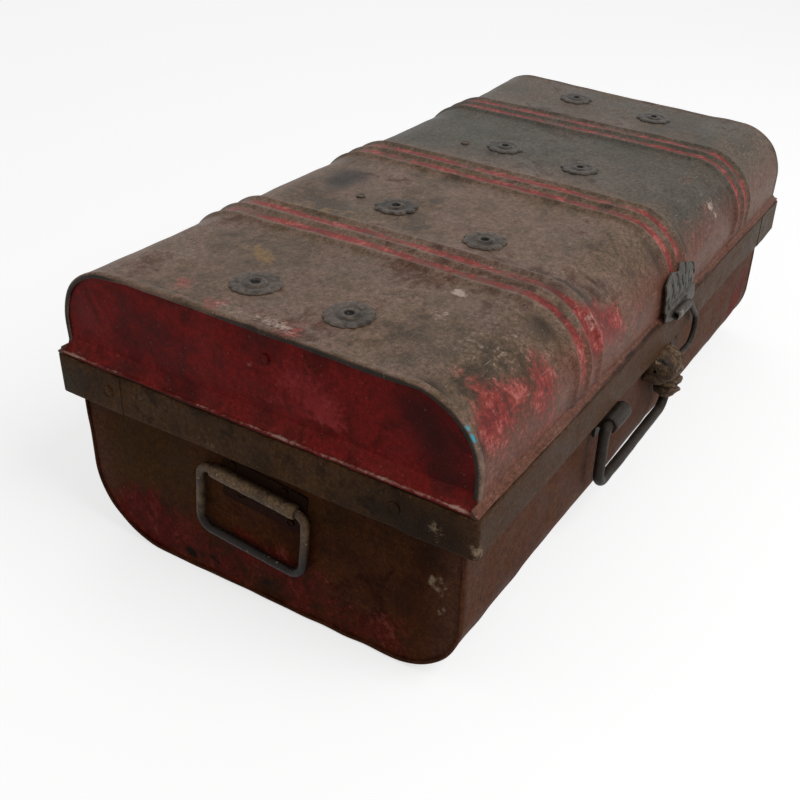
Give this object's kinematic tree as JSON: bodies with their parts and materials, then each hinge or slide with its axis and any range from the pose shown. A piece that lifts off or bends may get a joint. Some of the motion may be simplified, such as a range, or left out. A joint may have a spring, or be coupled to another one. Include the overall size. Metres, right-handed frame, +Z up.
{
  "type": "sheet-metal trunk",
  "caption": "Low sheet-metal travelling trunk with a ribbed domed lid, rim band, pressed rosettes, drop handles, a front bail and a hasp hook.",
  "frame": {"origin": "middle of the flat underside, where the trunk rests", "axes": "+X along the trunk, -Y towards the front with the hasp and the carrying bail, +Z up"},
  "size_m": [0.5938, 0.3382, 0.2123],
  "materials": {
    "base_paint": "aged red-brown paint, satin and worn",
    "band_paint": "dark olive-brown paint, satin and grimy",
    "lid_paint": "grey-brown paint over red, matt and scuffed",
    "lid_red_paint": "deep red paint, satin and stained",
    "grey_steel": "dull grey-green steel, worn",
    "worn_steel": "speckled worn steel",
    "dark_iron": "dark oxidised iron, satin",
    "leather": "dry frayed hide"
  },
  "bodies": {
    "base": {"base_skin": "base_paint", "base_end_left": "base_paint", "base_end_right": "base_paint", "rim_strip_front": "band_paint", "rim_strip_back": "band_paint", "rim_strip_left": "band_paint", "rim_strip_right": "band_paint", "rim_strap_back_right": "band_paint", "rim_strap_front_right": "band_paint", "rim_strap_front_left": "band_paint", "rim_strap_back_left": "band_paint", "rim_rivet_left_back": "band_paint", "rim_rivet_left_front": "band_paint", "rim_rivet_right_front": "band_paint", "rim_rivet_right_back": "band_paint", "plate_rivet_left_1": "grey_steel", "plate_rivet_left_2": "grey_steel", "plate_rivet_left_3": "grey_steel", "plate_rivet_left_4": "grey_steel", "plate_rivet_right_1": "grey_steel", "plate_rivet_right_2": "grey_steel", "plate_rivet_right_3": "grey_steel", "plate_rivet_right_4": "grey_steel", "handle_plate_left": "worn_steel", "handle_plate_right": "worn_steel", "front_lug_left": "dark_iron", "front_lug_right": "dark_iron", "catch_plate": "grey_steel", "catch_rivet": "grey_steel", "hinge_leaf_base_left": "dark_iron", "hinge_leaf_base_right": "dark_iron", "hinge_pin_left": "dark_iron", "hinge_pin_right": "dark_iron", "leather_wrap": "leather"},
    "lid": {"lid_skin": "lid_paint", "lid_end_left": "lid_red_paint", "lid_end_right": "lid_red_paint", "lid_hem_front": "lid_red_paint", "lid_hem_back": "lid_red_paint", "lid_hem_left": "lid_red_paint", "lid_hem_right": "lid_red_paint", "lid_rivet_1": "lid_paint", "lid_rivet_2": "lid_paint", "hasp_plate": "grey_steel", "rosette_1": "grey_steel", "rosette_2": "grey_steel", "rosette_3": "grey_steel", "rosette_4": "grey_steel", "rosette_5": "grey_steel", "rosette_6": "grey_steel", "rosette_7": "grey_steel", "rosette_8": "grey_steel", "hinge_leaf_lid_left": "dark_iron", "hinge_leaf_lid_right": "dark_iron"},
    "hook": {"hasp_hook": "dark_iron"},
    "left_handle": {"end_handle_left": "dark_iron"},
    "right_handle": {"end_handle_right": "dark_iron"},
    "bail": {"front_bail": "dark_iron", "leather_binding": "leather"}
  },
  "joints": [
    {"name": "lid_hinge", "type": "hinge", "parent": "base", "child": "lid", "pos_m": [0, 0.1633, 0.14165], "axis": [-1, 0, 0], "range_deg": [0, 110]},
    {"name": "hook_hinge", "type": "hinge", "parent": "lid", "child": "hook", "pos_m": [0.0095, -0.1642, 0.144], "axis": [-1, 0, 0], "range_deg": [0, 120]},
    {"name": "left_handle_hinge", "type": "hinge", "parent": "base", "child": "left_handle", "pos_m": [-0.2917, 0, 0.0925], "axis": [0, 0.9954, 0.0958], "range_deg": [0, 145]},
    {"name": "right_handle_hinge", "type": "hinge", "parent": "base", "child": "right_handle", "pos_m": [0.2917, 0, 0.0925], "axis": [0, -1, 0], "range_deg": [0, 145]},
    {"name": "bail_hinge", "type": "hinge", "parent": "base", "child": "bail", "pos_m": [-0.0465, -0.16, 0.101], "axis": [-1, 0, 0], "range_deg": [0, 90]}
  ]
}
